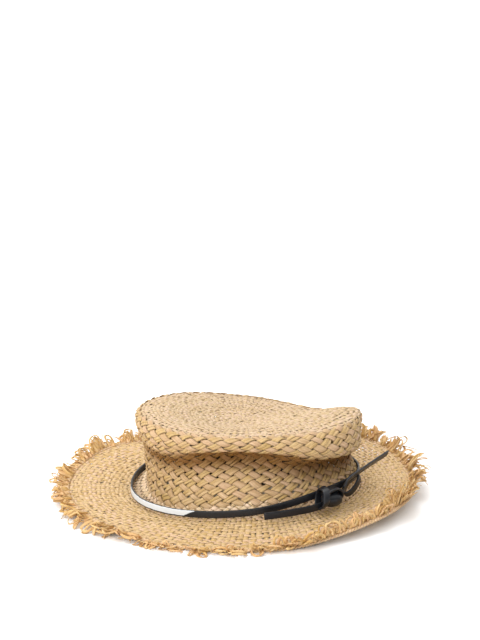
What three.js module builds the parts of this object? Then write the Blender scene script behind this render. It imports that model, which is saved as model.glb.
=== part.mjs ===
// A woven straw sun hat lying on its brim: a slouched crown of wall and tip, a head row, a brim with a braided edge
// and a fringe in eight lengths, a ribbon sweatband with a blank label, and a leather lace band tied in a half bow.
// Millimetres, +Z up. The origin is at the middle of the footprint, on the surface that the hat lies on.
// X is the long way of the head, and the knot is on the -Y side, towards +X.
import * as THREE from "three";

// Driving dimensions
const HEAD = { x: 6, a: 100, b: 84 }; // the outside of the crown at the head line: its centre and half lengths
const EDGE = { a: 150, b: 126 }; // half lengths of the brim at its woven edge
const FRINGE_REACH = 18; // from the woven edge to the tips of the fringe
const WEAVE = 2.4; // thickness of the woven straw
const RIBBON = 0.8; // thickness of the sweatband
const LACE = { width: 6.2, thickness: 1.8 };
const GAP = 0.4; // between pieces that touch
const AROUND = 60; // steps round the hat

// The crown's shape is eight ribs, from the head line up over the lip, at every 45 degrees from +X towards +Y.
// Each point is [how far inside the head line, height]. The -Y side has slumped into a deep fold.
const RIBS = [
  [[0, 12], [3, 22], [8, 31], [9, 39], [2, 48], [1, 62], [1, 77], [12, 80]],
  [[0, 12], [2, 20], [4, 29], [5, 38], [5, 47], [6, 55], [11, 61], [23, 63]],
  [[0, 12], [2, 22], [3, 33], [4, 43], [5, 53], [7, 61], [12, 66], [24, 68]],
  [[0, 8], [3, 21], [4, 34], [5, 46], [5, 58], [5, 68], [10, 75], [21, 77]],
  [[0, 5], [12, 14], [11, 29], [10, 45], [6, 59], [3, 71], [6, 78], [17, 80]],
  [[0, 6], [9, 11], [14, 28], [16, 44], [9, 56], [4, 67], [8, 76], [19, 79]],
  [[0, 12], [5, 23], [12, 34], [20, 45], [27, 56], [14, 65], [12, 74.6], [28, 78]],
  [[0, 12], [5, 22], [17, 33], [22, 43], [4, 54], [1, 64], [9, 75], [32, 79]],
];
const TIP_CENTRE = new THREE.Vector3(2, 2, 67);
const EDGE_HEIGHTS = [13, 20, -2, 13, 8, 5, -2, 10]; // of the brim's edge, at the same eight angles
const HEAD_ROW_TOP = 1 / 7; // the share of a rib that the head row takes
const SWEATBAND_TOP = 0.3; // the share of a rib that the sweatband reaches

// The lace: the height of its lower edge, and how far it stands off the head line, at the eight angles
const BAND_HEIGHTS = [23.5, 20, 15, 9.5, 6, 8.5, 14, 24.5];
const BAND_SLACK = [-3.2, -2.1, -0.6, 0.3, -0.6, 4, 0.5, -2];
const KNOT_ANGLE = -0.87; // where the knot sits, round from +X, in radians
const KNOT_HALF_ANGLE = 0.135; // the band stops this far each side of it
const KNOT_SIZE = [8.2, 12.4, 9.4]; // half lengths: out from the crown, along the band, up

// A closed curve through one value or pair for each of the eight angles.
const around = (list) =>
  new THREE.CatmullRomCurve3(
    list.map((v) => new THREE.Vector3(...[v].flat(), 0, 0)),
    true,
    "catmullrom",
  );
const turn = (angle) => (((angle / (2 * Math.PI)) % 1) + 1) % 1;
const HOOPS = RIBS[0].map((_, level) => around(RIBS.map((rib) => rib[level])));
const EDGE_HEIGHT = around(EDGE_HEIGHTS);
const BAND_HEIGHT = around(BAND_HEIGHTS);
const SLACK = around(BAND_SLACK);

// The rib at an angle, as a curve of (inside, height).
const rib = (angle) =>
  new THREE.CatmullRomCurve3(HOOPS.map((hoop) => hoop.getPoint(turn(angle))), false, "catmullrom");

// The outward direction of the head oval at an angle.
const outward = (angle) =>
  new THREE.Vector3(Math.cos(angle) / HEAD.a, Math.sin(angle) / HEAD.b, 0).normalize();

function crownSurface(angle, share) {
  const at = rib(angle).getPoint(share);
  const point = new THREE.Vector3(HEAD.x + HEAD.a * Math.cos(angle), HEAD.b * Math.sin(angle), at.y);
  return point.addScaledVector(outward(angle), -at.x);
}

// The same surface moved in along its own normal.
function crown(angle, share, depth = 0) {
  const step = 1e-3;
  const point = crownSurface(angle, share);
  const along = crownSurface(angle + step, share).sub(point);
  const low = Math.min(share, 1 - step);
  const up = crownSurface(angle, low + step).sub(crownSurface(angle, low));
  return point.addScaledVector(along.cross(up).normalize(), -depth);
}

// The tip dips from the lip to its centre, and meets the wall with no ridge.
function tip(angle, share, depth) {
  const rim = crownSurface(angle, 1);
  const point = TIP_CENTRE.clone().lerp(rim, share);
  point.z = THREE.MathUtils.lerp(TIP_CENTRE.z, rim.z, share * share * (3 - 2 * share)) - depth;
  return point;
}

// The brim's middle surface, from the head line at 0 to its woven edge at 1. The floor holds the edge up.
function brim(angle, share) {
  const head = crownSurface(angle, 0);
  const floor = WEAVE / 2;
  const edge = new THREE.Vector3(
    EDGE.a * Math.cos(angle),
    EDGE.b * Math.sin(angle),
    EDGE_HEIGHT.getPoint(turn(angle)).x,
  );
  const point = head.clone().lerp(edge, share);
  const fall = 1 - Math.pow(1 - Math.min(share, 1), 1.5);
  point.z = Math.max(floor, THREE.MathUtils.lerp(head.z - 0.8, edge.z, fall));
  return point;
}

const brimOutward = (angle) =>
  new THREE.Vector3(Math.cos(angle) / EDGE.a, Math.sin(angle) / EDGE.b, 0).normalize();

// Moves each vertex of a plain blank to where it belongs on the hat.
function shape(blank, place) {
  const at = blank.getAttribute("position");
  for (let i = 0; i < at.count; i++) {
    const { x, y, z } = place(at.getX(i), at.getY(i), at.getZ(i));
    at.setXYZ(i, x, y, z);
  }
  blank.computeVertexNormals();
  return blank;
}

// A closed ring blank: the profile is turned round the hat, and place gets (angle, profile x, profile y).
const ring = (profile, steps, place) =>
  shape(new THREE.LatheGeometry(profile, steps), (x, y, z) => place(Math.atan2(x, z), Math.hypot(x, z), y));

// A closed profile with its sides at x 1 and 2, and the given heights up each side.
function wallProfile(heights) {
  const outside = heights.map((h) => new THREE.Vector2(2, h));
  const inside = heights.map((h) => new THREE.Vector2(1, h)).reverse();
  return [...outside, ...inside, outside[0].clone()];
}

const levels = (from, to, count) =>
  Array.from({ length: count + 1 }, (_, i) => from + ((to - from) * i) / count);

const crownRing = (from, to, count, depth, thickness) =>
  ring(wallProfile(levels(from, to, count)), AROUND, (angle, x, share) =>
    crown(angle, share, depth + (2 - x) * thickness));

// A flat blank, 1 wide and 1 thick, with y along it: place gets (out, along, up), each from 0 to 1.
const strip = (steps, place) =>
  shape(new THREE.BoxGeometry(1, 1, 1, 1, steps, 1), (x, y, z) => place(x + 0.5, y + 0.5, z + 0.5));

const STRAW = new THREE.MeshStandardMaterial({ color: 0xd9b98a, roughness: 0.8 });
const FINE_STRAW = new THREE.MeshStandardMaterial({ color: 0xd8b57c, roughness: 0.82 });
const FRAYED_STRAW = new THREE.MeshStandardMaterial({ color: 0xd6a765, roughness: 0.85 });
const RIBBON_CLOTH = new THREE.MeshStandardMaterial({ color: 0xc9b28c, roughness: 0.9 });
const LABEL_CLOTH = new THREE.MeshStandardMaterial({ color: 0xf0ebe0, roughness: 0.8 });
const LEATHER = new THREE.MeshStandardMaterial({ color: 0x1a1a1c, roughness: 0.45 });

const hat = new THREE.Group();
function add(name, geometry, material) {
  const mesh = new THREE.Mesh(geometry, material);
  mesh.name = name;
  hat.add(mesh);
}

// Crown
const SEAM = 0.004; // the share of a rib left free where two woven pieces meet
add("head_row", crownRing(0, HEAD_ROW_TOP, 3, 0, WEAVE), FINE_STRAW);
add("crown_wall", crownRing(HEAD_ROW_TOP + SEAM, 1, 14, 0, WEAVE), STRAW);

const TIP_RIM = 0.99; // just inside the top of the wall
const tipRings = levels(0, TIP_RIM, 6);
const tipProfile = [
  ...tipRings.map((r) => new THREE.Vector2(r, 0)),
  ...tipRings.map((r) => new THREE.Vector2(r, 1)).reverse(),
];
add("crown_tip", ring(tipProfile, AROUND, (angle, r, y) => tip(angle, r, (1 - y) * WEAVE)), FINE_STRAW);

// Brim, with flat faces on the floor where it rests
const brimRings = levels(0, 1, 6);
const brimProfile = [
  ...brimRings.map((r) => new THREE.Vector2(1 + r, 0)),
  ...brimRings.map((r) => new THREE.Vector2(1 + r, 1)).reverse(),
  new THREE.Vector2(1, 0),
];
add(
  "brim",
  ring(brimProfile, AROUND, (angle, x, y) => {
    const point = brim(angle, x - 1).addScaledVector(brimOutward(angle), GAP * (2 - x));
    point.z += (y - 0.5) * WEAVE;
    return point;
  }),
  FINE_STRAW,
);

// The braid sewn round the woven edge
const BRAID = { out: 1.9, up: 1.7, sides: 8 };
const braidProfile = Array.from({ length: BRAID.sides + 1 }, (_, i) => {
  const a = (2 * Math.PI * (i + 0.5)) / BRAID.sides;
  return new THREE.Vector2(3 + Math.cos(a), Math.sin(a));
});
add(
  "edge_braid",
  ring(braidProfile, 80, (angle, x, y) => {
    const point = brim(angle, 1).addScaledVector(brimOutward(angle), GAP + BRAID.out + (x - 3) * BRAID.out);
    point.z = Math.max(0, point.z + 0.5 + y * BRAID.up);
    return point;
  }),
  STRAW,
);

// The fringe: a tapered length of tufts for each eighth of the edge, one tuft long and one gap short in turn
const FRINGE_NAMES = ["right", "back_right", "back", "back_left", "left", "front_left", "front", "front_right"];
const TUFTS = 8;
const FRINGE = { start: GAP + 2 * BRAID.out + GAP, thick: 2, shortReach: 11, rise: 2 };
FRINGE_NAMES.forEach((name, part) => {
  const eighth = Math.PI / 4;
  const space = 0.006; // radians between two lengths
  add(
    "fringe_" + name,
    strip(2 * TUFTS, (out, along, up) => {
      const angle = (part - 0.5) * eighth + space + along * (eighth - 2 * space);
      const tuft = Math.round(along * 2 * TUFTS) % 2 === 0;
      const reach = tuft ? FRINGE_REACH : FRINGE.shortReach;
      const point = brim(angle, 1).addScaledVector(
        brimOutward(angle),
        THREE.MathUtils.lerp(FRINGE.start, reach, out),
      );
      point.z += out * FRINGE.rise + (up - 0.5) * FRINGE.thick * (1 - 0.4 * out);
      return point;
    }),
    FRAYED_STRAW,
  );
});

// Sweatband inside the head line, and the blank label sewn to it at the back (+X)
const SWEATBAND_DEPTH = WEAVE + 1.6; // the ribbon hangs a little off the straw
add("sweatband", crownRing(0.02, SWEATBAND_TOP, 5, SWEATBAND_DEPTH, RIBBON), RIBBON_CLOTH);
const LABEL = { halfAngle: 0.16, from: 0.06, to: 0.24, thickness: 0.6 };
add(
  "size_label",
  strip(8, (out, along, up) => {
    const angle = THREE.MathUtils.lerp(-LABEL.halfAngle, LABEL.halfAngle, along);
    const share = THREE.MathUtils.lerp(LABEL.from, LABEL.to, up);
    return crown(angle, share, SWEATBAND_DEPTH + RIBBON + GAP + (1 - out) * LABEL.thickness);
  }),
  LABEL_CLOTH,
);

// Lace band round the crown, open at the knot
function bandPoint(angle, out, up) {
  const point = crownSurface(angle, 0);
  const off = GAP + SLACK.getPoint(turn(angle)).x + out * LACE.thickness;
  point.addScaledVector(outward(angle), off);
  point.z = BAND_HEIGHT.getPoint(turn(angle)).x + up * LACE.width;
  return point;
}
add(
  "hat_band",
  strip(96, (out, along, up) => {
    const from = KNOT_ANGLE + KNOT_HALF_ANGLE;
    const to = KNOT_ANGLE - KNOT_HALF_ANGLE + 2 * Math.PI;
    return bandPoint(THREE.MathUtils.lerp(from, to, along), out, up);
  }),
  LEATHER,
);

// The knot stands in the gap of the band
const knotOut = outward(KNOT_ANGLE);
const knotAlong = new THREE.Vector3(-knotOut.y, knotOut.x, 0);
const knotCentre = bandPoint(KNOT_ANGLE, 0.5, 0.5).addScaledVector(knotOut, 8);
knotCentre.z -= 1.5;
add(
  "band_knot",
  shape(new THREE.SphereGeometry(1, 20, 12), (x, y, z) =>
    // the sphere's own axes (x, y, z) become (out, up, -along)
    knotCentre
      .clone()
      .addScaledVector(knotOut, x * KNOT_SIZE[0])
      .addScaledVector(knotAlong, -z * KNOT_SIZE[1])
      .addScaledVector(new THREE.Vector3(0, 0, 1), y * KNOT_SIZE[2])),
  LEATHER,
);

// A length of lace along a curve, with its width turned from one direction to another on the way
function lace(points, widthStart, widthEnd, steps) {
  const path = new THREE.CatmullRomCurve3(points.map((p) => new THREE.Vector3(...p)));
  return strip(steps, (out, along, up) => {
    const tangent = path.getTangentAt(along);
    const width = new THREE.Vector3(...widthStart).lerp(new THREE.Vector3(...widthEnd), along);
    width.addScaledVector(tangent, -width.dot(tangent)).normalize();
    const side = tangent.clone().cross(width);
    return path
      .getPointAt(along)
      .addScaledVector(side, (out - 0.5) * LACE.thickness)
      .addScaledVector(width, (up - 0.5) * LACE.width);
  });
}

const TAIL_LEFT = [[65, -78.5, 19], [51, -85, 18.4], [36, -90, 17.8], [20, -93.5, 17]];
const TAIL_RIGHT = [
  [88.4, -67.1, 37],
  [100.9, -48.6, 38.6],
  [113.9, -29.6, 40.2],
  [127.4, -10.1, 41.2],
];
add("tail_left", lace(TAIL_LEFT, [0, 0, 1], [0, 0.1, 1], 8), LEATHER);
add("tail_right", lace(TAIL_RIGHT, [0.4, -0.38, 0.8], [0.4, -0.38, 0.8], 10), LEATHER);

// The bow's loop stands up beside the knot: its long way, its short way and the lace's width
const LOOP = { centre: [95.2, -48.3, 27], long: 10.5, short: 4.6 };
const loopLong = new THREE.Vector3(0.523, 0.577, 0.633).normalize();
const loopWidth = new THREE.Vector3(-0.309, -0.496, 0.811);
loopWidth.addScaledVector(loopLong, -loopWidth.dot(loopLong)).normalize();
const loopShort = loopWidth.clone().cross(loopLong);
add(
  "bow_loop",
  ring(wallProfile([-0.5, 0.5]), 24, (angle, x, y) => {
    const grow = (x - 1.5) * LACE.thickness;
    return new THREE.Vector3(...LOOP.centre)
      .addScaledVector(loopLong, Math.cos(angle) * (LOOP.long + grow))
      .addScaledVector(loopShort, Math.sin(angle) * (LOOP.short + grow))
      .addScaledVector(loopWidth, y * LACE.width);
  }),
  LEATHER,
);

export default hat;
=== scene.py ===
import math

import bmesh
import bpy
import numpy as np
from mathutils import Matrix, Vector


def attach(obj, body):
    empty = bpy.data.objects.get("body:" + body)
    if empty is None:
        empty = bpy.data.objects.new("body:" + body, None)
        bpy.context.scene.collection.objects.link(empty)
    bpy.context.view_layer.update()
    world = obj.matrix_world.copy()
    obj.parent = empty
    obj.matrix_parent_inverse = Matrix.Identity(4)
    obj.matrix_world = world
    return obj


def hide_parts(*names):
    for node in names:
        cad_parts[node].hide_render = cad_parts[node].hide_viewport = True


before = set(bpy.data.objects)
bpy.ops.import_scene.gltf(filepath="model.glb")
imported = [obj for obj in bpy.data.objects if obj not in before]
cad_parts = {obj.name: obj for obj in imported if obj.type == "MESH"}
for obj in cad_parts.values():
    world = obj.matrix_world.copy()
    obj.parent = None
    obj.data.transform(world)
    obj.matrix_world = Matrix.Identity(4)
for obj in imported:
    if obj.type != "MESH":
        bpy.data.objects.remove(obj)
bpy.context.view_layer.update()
MM = 0.001

# Camera: low over the surface and a little to the front, with the hat in the lower half of a tall frame.
CAMERA_DISTANCE = 1.6
CAMERA_ELEVATION = math.radians(22)
CAMERA_TILT_UP = math.radians(5.45)  # it looks over the hat, which drops the hat in the frame
CAMERA_LENS = 102  # millimetres, like the sensor's height
CAMERA_SENSOR = 36

camera_data = bpy.data.cameras.new("camera")
camera_data.lens = CAMERA_LENS
camera_data.sensor_fit = "VERTICAL"
camera_data.sensor_height = CAMERA_SENSOR
camera = bpy.data.objects.new("camera", camera_data)
camera.location = (
    0,
    -CAMERA_DISTANCE * math.cos(CAMERA_ELEVATION),
    CAMERA_DISTANCE * math.sin(CAMERA_ELEVATION),
)
camera.rotation_euler = (math.pi / 2 - CAMERA_ELEVATION + CAMERA_TILT_UP, 0, 0)
bpy.context.collection.objects.link(camera)
bpy.context.scene.camera = camera
bpy.context.scene.view_settings.view_transform = "Standard"


# Floor and light: a white floor, a soft light over the back of the hat, a fill light at the front and one
# at the left, and a pale world, brighter above. The floor is almost as bright as the world, so that only
# the hat's own soft shadow shows on it. All their sizes are in metres.
FLOOR_HALF_LENGTH = 12
DISC_HALF_LENGTHS = (0.108, 0.092, 1)
DISC_CENTRE = (0.006, 0, 0.0005)
BRIGHTEST_SKY = (-0.1, 0.36, 0.93)
SKY_STRENGTHS = (0.14, 1.85)  # below the middle of the sky, and towards its brightest part


def new_material(name, roughness, color=(0.8, 0.8, 0.8)):
    material = bpy.data.materials.new(name)
    material.use_nodes = True
    shader = material.node_tree.nodes["Principled BSDF"]
    shader.inputs["Base Color"].default_value = (*color, 1)
    shader.inputs["Roughness"].default_value = roughness
    return material, material.node_tree, shader


def finish_mesh(bm, name, material, smooth=True):
    """Turns a bmesh into a linked object at the origin."""
    mesh = bpy.data.meshes.new(name)
    bm.to_mesh(mesh)
    bm.free()
    mesh.materials.append(material)
    mesh.polygons.foreach_set("use_smooth", [smooth] * len(mesh.polygons))
    piece = bpy.data.objects.new(name, mesh)
    bpy.context.collection.objects.link(piece)
    return piece


def read_attribute(tree, name):
    node = tree.nodes.new("ShaderNodeAttribute")
    node.attribute_name = name
    return node


def map_range(tree, value, low, high, to_low, to_high):
    node = tree.nodes.new("ShaderNodeMapRange")
    for socket, number in zip(("From Min", "From Max", "To Min", "To Max"), (low, high, to_low, to_high)):
        node.inputs[socket].default_value = number
    tree.links.new(value, node.inputs["Value"])
    return node.outputs["Result"]


def mix_colors(tree, kind, *values):
    """values are the factor and the two colours, each a plain value or the output of a node."""
    node = tree.nodes.new("ShaderNodeMix")
    node.data_type = "RGBA"
    node.blend_type = kind
    for socket, value in zip((node.inputs[0], node.inputs[6], node.inputs[7]), values):
        if isinstance(value, (float, tuple)):
            socket.default_value = value
        else:
            tree.links.new(value, socket)
    return node.outputs[2]


def add_relief(tree, shader, height, strength, distance):
    bump = tree.nodes.new("ShaderNodeBump")
    bump.inputs["Strength"].default_value = strength
    bump.inputs["Distance"].default_value = distance
    tree.links.new(height, bump.inputs["Height"])
    tree.links.new(bump.outputs["Normal"], shader.inputs["Normal"])


floor_material, _, _ = new_material("white_floor", 0.9, (0.96, 0.96, 0.96))
floor_bm = bmesh.new()
bmesh.ops.create_grid(floor_bm, x_segments=1, y_segments=1, size=FLOOR_HALF_LENGTH)
floor = finish_mesh(floor_bm, "floor", floor_material, smooth=False)

# A dark disc lies on the floor inside the hat, out of sight: painted shade standing in for the dark inside of
# the hat, so that the gaps in the weave look dark.
disc_material, _, _ = new_material("painted_shade_disc", 0.9, (0.04, 0.028, 0.016))
disc_bm = bmesh.new()
bmesh.ops.create_circle(disc_bm, cap_ends=True, segments=64, radius=1)
bmesh.ops.scale(disc_bm, vec=DISC_HALF_LENGTHS, verts=disc_bm.verts)
bmesh.ops.translate(disc_bm, vec=DISC_CENTRE, verts=disc_bm.verts)
disc = finish_mesh(disc_bm, "disc", disc_material, smooth=False)

world = bpy.data.worlds.new("world")
bpy.context.scene.world = world
world.use_nodes = True
sky_tree = world.node_tree
sky = sky_tree.nodes["Background"]
sky.inputs["Color"].default_value = (1, 1, 1, 1)
direction = sky_tree.nodes.new("ShaderNodeTexCoord")
towards_light = sky_tree.nodes.new("ShaderNodeVectorMath")
towards_light.operation = "DOT_PRODUCT"
towards_light.inputs[1].default_value = BRIGHTEST_SKY
sky_tree.links.new(direction.outputs["Generated"], towards_light.inputs[0])
brighter_above = map_range(sky_tree, towards_light.outputs["Value"], 0, 1, *SKY_STRENGTHS)
sky_tree.links.new(brighter_above, sky.inputs["Strength"])


def area_light(name, place, target, size, power):
    data = bpy.data.lights.new(name, "AREA")
    data.shape = "DISK"
    data.size = size
    data.energy = power
    light = bpy.data.objects.new(name, data)
    light.location = place
    light.rotation_euler = (Vector(target) - Vector(place)).to_track_quat("-Z", "Y").to_euler()
    bpy.context.collection.objects.link(light)


area_light("key", (-0.15, 0.45, 1.7), (0, 0, 0.03), 0.8, 8.5)
area_light("front_fill", (-0.35, -1.3, 0.55), (0, 0, 0.03), 0.9, 8.0)
area_light("left_fill", (-1.25, -0.7, 0.6), (0, 0, 0.04), 0.9, 9.0)


# Head row: the fine rows at the foot of the crown, where the wall turns out into the brim. They are woven
# on the diagonal like the wall above, from straws split narrow, and the lace lies round them. This section
# also holds what all the woven pieces share. Its sizes, and those of every piece after it, are in
# millimetres.
HEAD = (6.0, 100.0, 84.0)  # the head line's centre along X, and its half lengths
WEAVE = 2.4  # thickness of the woven straw
# Eight ribs from the head line up over the lip, every 45 degrees from +X towards +Y. Each point is (how far
# inside the head line, height).
RIBS = np.array([
    [(0, 12), (3, 22), (8, 31), (9, 39), (2, 48), (1, 62), (1, 77), (12, 80)],
    [(0, 12), (2, 20), (4, 29), (5, 38), (5, 47), (6, 55), (11, 61), (23, 63)],
    [(0, 12), (2, 22), (3, 33), (4, 43), (5, 53), (7, 61), (12, 66), (24, 68)],
    [(0, 8), (3, 21), (4, 34), (5, 46), (5, 58), (5, 68), (10, 75), (21, 77)],
    [(0, 5), (12, 14), (11, 29), (10, 45), (6, 59), (3, 71), (6, 78), (17, 80)],
    [(0, 6), (9, 11), (14, 28), (16, 44), (9, 56), (4, 67), (8, 76), (19, 79)],
    [(0, 12), (5, 23), (12, 34), (20, 45), (27, 56), (14, 65), (12, 74.6), (28, 78)],
    [(0, 12), (5, 22), (17, 33), (22, 43), (4, 54), (1, 64), (9, 75), (32, 79)],
], float)
HEAD_ROW_TOP = 1 / 7  # the share of a rib that the head row takes
HEAD_ROUND = 580  # the length round the crown, for the look of the fibres
ANGLES = np.linspace(0, 2 * math.pi, 721)  # every half degree round the hat

# The painted shade in a fold lies where the straw is further in than the lip by more than LIP_SLACK, a share
# of the head line's half length. It starts at FIRST_OVERHANG, and is gone at FADE_END below the lip.
LIP_SLACK = 0.035
MEAN_HALF_LENGTH = 90
LIP_ROUNDING = 4
FIRST_OVERHANG = 0.08
OVERHANG_SPAN = 0.32
FADE_END = 27
FADE_SPAN = 15

FIBRE_STEP = 3.1  # from one straw to the next in the pattern of the fibres, so that no two look the same


def curve_through(values, t, closed):
    """A smooth curve through evenly spaced values (on the first axis), read at each t from 0 to 1."""
    count = len(values)
    x = np.asarray(t, float) * (count if closed else count - 1)
    i = np.floor(x).astype(int)
    if closed:
        take = lambda k: values[(i + k) % count]
    else:
        i = np.clip(i, 0, count - 2)
        ends = np.concatenate([[2 * values[0] - values[1]], values, [2 * values[-1] - values[-2]]])
        take = lambda k: ends[i + k + 1]
    f = (x - i).reshape(x.shape + (1,) * (values.ndim - 1))
    a, b, c, d = take(-1), take(0), take(1), take(2)
    return b + 0.5 * f * (c - a + f * (2 * a - 5 * b + 4 * c - d + f * (3 * (b - c) + d - a)))


HOOPS = curve_through(RIBS, ANGLES / (2 * math.pi), True)
OVAL_NORMAL = np.stack([np.cos(ANGLES) / HEAD[1], np.sin(ANGLES) / HEAD[2]], -1)
OVAL_NORMAL /= np.linalg.norm(OVAL_NORMAL, axis=1, keepdims=True)


def crown_lines(share):
    """The crown's outside at every angle, for a list of shares of the rib: [angle, share, xyz]."""
    at = curve_through(np.moveaxis(HOOPS, 1, 0), share, False)  # [share, angle, 2]
    at = np.moveaxis(at, 0, 1)
    x = HEAD[0] + HEAD[1] * np.cos(ANGLES)[:, None] - OVAL_NORMAL[:, 0, None] * at[..., 0]
    y = HEAD[2] * np.sin(ANGLES)[:, None] - OVAL_NORMAL[:, 1, None] * at[..., 0]
    return np.stack([x, y, at[..., 1]], -1)


class Form:
    """A surface read by angle round the hat and by an even share across it, with its outward normals."""

    def __init__(self, lines, upward, samples=200, folded=False):
        """folded forms also give each place the strength of a painted shade, strongest just under an
        overhanging lip.
        """
        rows = []
        for line in lines:
            steps = np.linalg.norm(np.diff(line, axis=0), axis=1)
            length = np.concatenate([[0], np.cumsum(steps)])
            even = np.linspace(0, length[-1], samples)
            rows.append(np.stack([np.interp(even, length, line[:, k]) for k in range(3)], -1))
        self.points = np.array(rows)
        self.length = float(np.mean(np.linalg.norm(np.diff(self.points, axis=1), axis=2).sum(1)))
        wrapped = np.concatenate([self.points[-2:-1], self.points, self.points[1:2]])
        round_hat = wrapped[2:] - wrapped[:-2]
        across = np.gradient(self.points, axis=1)
        normal = np.cross(across, round_hat) if upward else np.cross(round_hat, across)
        self.normals = normal / np.maximum(np.linalg.norm(normal, axis=2, keepdims=True), 1e-9)
        # The strength of the painted shade under the lip, for folded forms
        reach = np.hypot((self.points[..., 0] - HEAD[0]) / HEAD[1], self.points[..., 1] / HEAD[2])
        lip = np.maximum.accumulate(reach[:, ::-1], axis=1)[:, ::-1]
        lip_step = np.where(reach >= lip - LIP_SLACK, np.arange(samples), samples - 1)
        lip_step = np.minimum.accumulate(lip_step[:, ::-1], axis=1)[:, ::-1]
        height = self.points[..., 2]
        below_lip = np.take_along_axis(height, lip_step, 1) - height
        overhang = np.maximum(0, lip - reach - LIP_SLACK) * MEAN_HALF_LENGTH / (below_lip + LIP_ROUNDING)
        under = np.clip((overhang - FIRST_OVERHANG) / OVERHANG_SPAN, 0, 1)
        self.painted_fold_shade = under * np.clip((FADE_END - below_lip) / FADE_SPAN, 0, 1) * folded

    def painted_fold_shade_at(self, angle, share):
        x = (angle / (2 * math.pi) % 1) * (len(self.painted_fold_shade) - 1)
        return self.painted_fold_shade[x.astype(int), (np.clip(share, 0, 1) * (self.painted_fold_shade.shape[1] - 1)).astype(int)]

    def at(self, angle, share):
        x = (np.asarray(angle) / (2 * math.pi) % 1) * (len(self.points) - 1)
        y = np.clip(share, 0, 1) * (self.points.shape[1] - 1)
        i = np.minimum(x.astype(int), len(self.points) - 2)
        j = np.minimum(y.astype(int), self.points.shape[1] - 2)
        f, g = (x - i)[..., None], (y - j)[..., None]
        blend = lambda grid: (
            (grid[i, j] * (1 - f) + grid[i + 1, j] * f) * (1 - g)
            + (grid[i, j + 1] * (1 - f) + grid[i + 1, j + 1] * f) * g
        )
        point, normal = blend(self.points), blend(self.normals)
        beyond = (share - np.clip(share, 0, 1))[..., None]
        if np.any(beyond):
            edge = np.where(beyond > 0, self.points.shape[1] - 2, 0)[..., 0]
            slope = (self.points[i, edge + 1] - self.points[i, edge]) * (self.points.shape[1] - 1)
            point = point + slope * beyond
        return point, normal / np.linalg.norm(normal, axis=-1, keepdims=True)


def lay_straws(name, count, rings, sides, place, material, seed):
    """Makes count closed flat straws and lays them with place(number, along, across, lift, rng). It gives the
    points, the distance along each straw and the distance across it, and may give how much painted shade each
    point gets under a lip."""
    unit = bmesh.new()
    bmesh.ops.create_cone(unit, cap_ends=True, segments=sides, radius1=1, radius2=1, depth=1)
    lengthwise = [e for e in unit.edges if abs(e.verts[0].co.z - e.verts[1].co.z) > 0.5]
    bmesh.ops.subdivide_edges(unit, edges=lengthwise, cuts=rings - 2)
    unit_mesh = bpy.data.meshes.new("straw")
    unit.to_mesh(unit_mesh)
    unit.free()
    bm = bmesh.new()
    for _ in range(count):
        bm.from_mesh(unit_mesh)
    piece = finish_mesh(bm, name, material)
    bpy.data.meshes.remove(unit_mesh)
    flat = np.empty(3 * len(piece.data.vertices))
    piece.data.vertices.foreach_get("co", flat)
    across, lift, along = np.moveaxis(flat.reshape(count, -1, 3), 2, 0)
    rng = np.random.default_rng(seed)
    number = np.arange(count)[:, None]
    points, run, breadth, *shade = place(number, along + 0.5, across, lift, rng)
    piece.data.vertices.foreach_set("co", (points * MM).ravel())
    tint = np.broadcast_to(rng.random(count)[:, None], run.shape)
    fibre = np.stack([run * MM, breadth * MM, tint], -1)
    piece.data.attributes.new("fibre", "FLOAT_VECTOR", "POINT").data.foreach_set("vector", fibre.ravel())
    # How far out to its side each point of a straw lies, for the painted shade along the straw's edges
    edge = np.abs(across) + np.zeros_like(run)
    piece.data.attributes.new("edge", "FLOAT", "POINT").data.foreach_set("value", edge.ravel())
    # How much painted shade each point gets under a lip; none where place gives none
    painted_fold_shade = shade[0] if shade else np.zeros_like(run)
    piece.data.attributes.new("painted_fold_shade", "FLOAT", "POINT").data.foreach_set("value", painted_fold_shade.ravel())
    bm = bmesh.new()
    bm.from_mesh(piece.data)
    if bm.calc_volume(signed=True) < 0:
        piece.data.flip_normals()
    bm.free()
    piece.data.update()
    return piece


def over_under(phase):
    """A wave from -1 to 1 with flat tops, as a straw has where it passes over its neighbours."""
    wave = np.cos(phase)
    return np.sign(wave) * np.abs(wave) ** 0.7


def jitter(rng, count, size):
    return (rng.random((count, 1)) - 0.5) * 2 * size


def loose(rng, count, along, knots, size):
    """A smooth drift along each straw, up to size either way, with a fresh value at each of its knots."""
    values = jitter(rng, count * (knots + 2), size).reshape(count, knots + 2)
    x = np.clip(along, 0, 1) * knots
    i = x.astype(int)
    f = (x - i) ** 2 * (3 - 2 * (x - i))
    rows = np.arange(count)[:, None]
    return values[rows, i] * (1 - f) + values[rows, i + 1] * f


STRAND_SPREAD = 1.22  # strands side by side in one band are this much wider, and overlap
STEPS_PER_CROSSING = 5


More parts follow.
